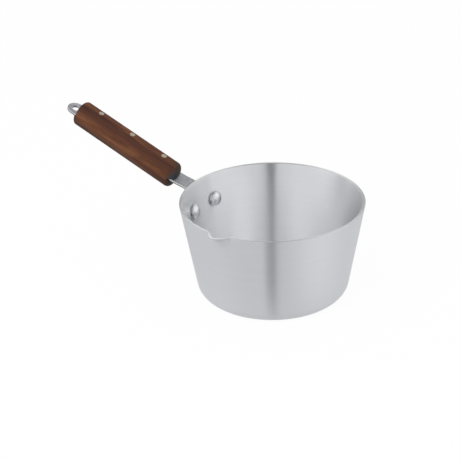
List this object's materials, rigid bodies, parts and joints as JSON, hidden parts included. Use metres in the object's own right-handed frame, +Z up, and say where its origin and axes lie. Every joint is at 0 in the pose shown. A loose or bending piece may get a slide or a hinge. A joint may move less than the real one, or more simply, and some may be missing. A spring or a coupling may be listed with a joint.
{
  "type": "milk pan",
  "caption": "Small open milk pan with sloping round wall, pouring lip on one side and a riveted strap handle with wooden grip and hanging eye.",
  "frame": {"origin": "middle of the base's underside, on the surface that the pan stands on", "axes": "+Z up, handle along -X, pouring lip towards -Y"},
  "size_m": [0.3025, 0.1671, 0.1327],
  "materials": {
    "pan_aluminium": "satin, brushed round the pan",
    "strap_steel": "plated, satin",
    "grip_wood": "oiled dark hardwood",
    "rivet_aluminium": "polished by the rivet set",
    "pin_aluminium": "sanded flush with the wood"
  },
  "bodies": {
    "root": {"pan_body": "pan_aluminium", "handle_strap": "strap_steel", "upper_scale": "grip_wood", "lower_scale": "grip_wood", "wall_rivet_left": "rivet_aluminium", "wall_rivet_right": "rivet_aluminium", "grip_pin_front": "pin_aluminium", "grip_pin_middle": "pin_aluminium", "grip_pin_rear": "pin_aluminium"}
  },
  "joints": []
}
